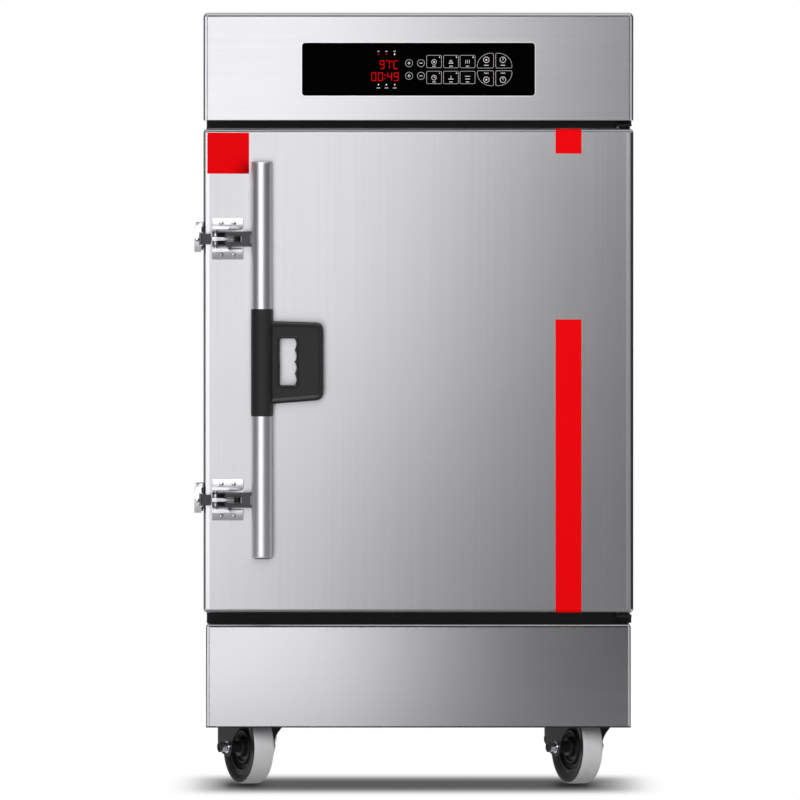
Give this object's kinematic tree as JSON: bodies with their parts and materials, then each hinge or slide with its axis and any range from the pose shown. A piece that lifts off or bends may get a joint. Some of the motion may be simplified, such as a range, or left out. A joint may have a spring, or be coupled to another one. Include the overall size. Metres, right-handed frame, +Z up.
{
  "type": "rice steamer cabinet",
  "caption": "Stainless rice steamer cabinet on swivel castors: hinged door with a toggle-latch handle, tray racks, water sump and a touch panel on its hood.",
  "frame": {"origin": "on the floor under the middle of the bounding box, at the wheels' lowest faces", "axes": "+Z up, the door and the control panel face -Y, +X to the right of someone who faces the door"},
  "size_m": [0.715, 0.6852, 1.258],
  "materials": {
    "stainless_sheet": "satin brushed stainless sheet, vertical grain on the door and sides, horizontal on hood and base",
    "chamber_sheet": "mill-finish stainless sheet and racks",
    "tray_steel": "drawn stainless, softly polished",
    "zinc_sheet": "zinc-plated steel",
    "bright_rod": "polished tube",
    "bright_fitting": "bright pressed stainless fittings",
    "dark_fitting": "dark grey painted steel",
    "grip_plastic": "fine-grained black moulding",
    "black_plastic": "black moulding",
    "panel_gloss": "glossy black touch panel with thin light key outlines",
    "foam": null,
    "seal_rubber": "soft black door seal",
    "wheel_tread": "light grey moulded tread",
    "heater_sheath": "heat-tinted sheathed heating tube",
    "brass_fitting": "nickel-rubbed brass valve",
    "float_plastic": "moulded float"
  },
  "bodies": {
    "cabinet": {"side_panel_left": "stainless_sheet", "side_panel_right": "stainless_sheet", "back_panel": "stainless_sheet", "top_cap": "stainless_sheet", "top_deck": "zinc_sheet", "inner_liner": "chamber_sheet", "sump_pan": "chamber_sheet", "insulation_foam": "foam", "upper_neck": "black_plastic", "lower_neck": "black_plastic", "base_skirt": "stainless_sheet", "chassis_plate": "zinc_sheet", "rack_left": "chamber_sheet", "rack_right": "chamber_sheet", "tray_1": "tray_steel", "tray_2": "tray_steel", "tray_3": "tray_steel", "tray_4": "tray_steel", "tray_5": "tray_steel", "tray_6": "tray_steel", "tray_7": "tray_steel", "tray_8": "tray_steel", "baffle_plate": "chamber_sheet", "heating_element": "heater_sheath", "steam_vent": "chamber_sheet", "drain_valve": "brass_fitting", "float_tank": "chamber_sheet", "cable_gland": "black_plastic", "control_panel": "panel_gloss", "contactor": "black_plastic", "hinge_bracket_top": "dark_fitting", "hinge_bracket_bottom": "dark_fitting", "keeper_upper": "bright_fitting", "keeper_lower": "bright_fitting", "castor_plate_front_left": "zinc_sheet", "castor_plate_front_right": "zinc_sheet", "castor_plate_rear_left": "zinc_sheet", "castor_plate_rear_right": "zinc_sheet"},
    "door": {"door_outer_panel": "stainless_sheet", "door_inner_panel": "chamber_sheet", "door_foam": "foam", "door_gasket": "seal_rubber", "latch_base_upper": "bright_fitting", "latch_base_lower": "bright_fitting"},
    "handle": {"handle_rod": "bright_rod", "handle_grip": "grip_plastic", "latch_lever_upper": "dark_fitting", "latch_lever_lower": "dark_fitting"},
    "upper_claw": {"claw_upper": "dark_fitting"},
    "lower_claw": {"claw_lower": "dark_fitting"},
    "valve_lever": {"drain_lever": "bright_fitting"},
    "float": {"float_arm": "float_plastic"},
    "fork_front_left": {"castor_fork_front_left": "dark_fitting"},
    "fork_front_right": {"castor_fork_front_right": "dark_fitting"},
    "fork_rear_left": {"castor_fork_rear_left": "dark_fitting"},
    "fork_rear_right": {"castor_fork_rear_right": "dark_fitting"},
    "wheel_front_left": {"castor_wheel_front_left": "wheel_tread"},
    "wheel_front_right": {"castor_wheel_front_right": "wheel_tread"},
    "wheel_rear_left": {"castor_wheel_rear_left": "wheel_tread"},
    "wheel_rear_right": {"castor_wheel_rear_right": "wheel_tread"}
  },
  "joints": [
    {"name": "door_hinge", "type": "hinge", "parent": "cabinet", "child": "door", "pos_m": [0.3425, -0.24835, 0.675], "axis": [0, 0, 1], "range_deg": [0, 110]},
    {"name": "handle_swing", "type": "hinge", "parent": "door", "child": "handle", "pos_m": [-0.3228, -0.28635, 0.6775], "axis": [0, 0, 1], "range_deg": [-90, 0]},
    {"name": "upper_claw_pivot", "type": "hinge", "parent": "handle", "child": "upper_claw", "pos_m": [-0.2898, -0.28635, 0.8899], "axis": [0, 0, 1], "range_deg": [0, 90]},
    {"name": "lower_claw_pivot", "type": "hinge", "parent": "handle", "child": "lower_claw", "pos_m": [-0.2898, -0.28635, 0.4651], "axis": [0, 0, 1], "range_deg": [0, 90]},
    {"name": "valve_lever_turn", "type": "hinge", "parent": "cabinet", "child": "valve_lever", "pos_m": [-0.2325, 0.30198, 0.334], "axis": [0, 0, 1], "range_deg": [0, 90]},
    {"name": "float_hinge", "type": "hinge", "parent": "cabinet", "child": "float", "pos_m": [0.3075, 0.26, 0.385], "axis": [0, 1, 0], "range_deg": [0, 35]},
    {"name": "swivel_front_left", "type": "hinge", "parent": "cabinet", "child": "fork_front_left", "pos_m": [-0.2605, -0.19535, 0.13], "axis": [0, 0, 1], "continuous": true},
    {"name": "swivel_front_right", "type": "hinge", "parent": "cabinet", "child": "fork_front_right", "pos_m": [0.2755, -0.19535, 0.13], "axis": [0, 0, 1], "continuous": true},
    {"name": "swivel_rear_left", "type": "hinge", "parent": "cabinet", "child": "fork_rear_left", "pos_m": [-0.2605, 0.20465, 0.13], "axis": [0, 0, 1], "continuous": true},
    {"name": "swivel_rear_right", "type": "hinge", "parent": "cabinet", "child": "fork_rear_right", "pos_m": [0.2755, 0.20465, 0.13], "axis": [0, 0, 1], "continuous": true},
    {"name": "spin_front_left", "type": "hinge", "parent": "fork_front_left", "child": "wheel_front_left", "pos_m": [-0.26974, -0.17649, 0.06], "axis": [0.898, 0.4399, 0], "continuous": true},
    {"name": "spin_front_right", "type": "hinge", "parent": "fork_front_right", "child": "wheel_front_right", "pos_m": [0.26626, -0.17649, 0.06], "axis": [0.898, 0.4399, 0], "continuous": true},
    {"name": "spin_rear_left", "type": "hinge", "parent": "fork_rear_left", "child": "wheel_rear_left", "pos_m": [-0.26974, 0.22351, 0.06], "axis": [0.898, 0.4399, 0], "continuous": true},
    {"name": "spin_rear_right", "type": "hinge", "parent": "fork_rear_right", "child": "wheel_rear_right", "pos_m": [0.26626, 0.22351, 0.06], "axis": [0.898, 0.4399, 0], "continuous": true}
  ],
  "couplings": [
    {"joint": "upper_claw_pivot", "follows": "handle_swing", "ratio": -1},
    {"joint": "lower_claw_pivot", "follows": "handle_swing", "ratio": -1}
  ]
}
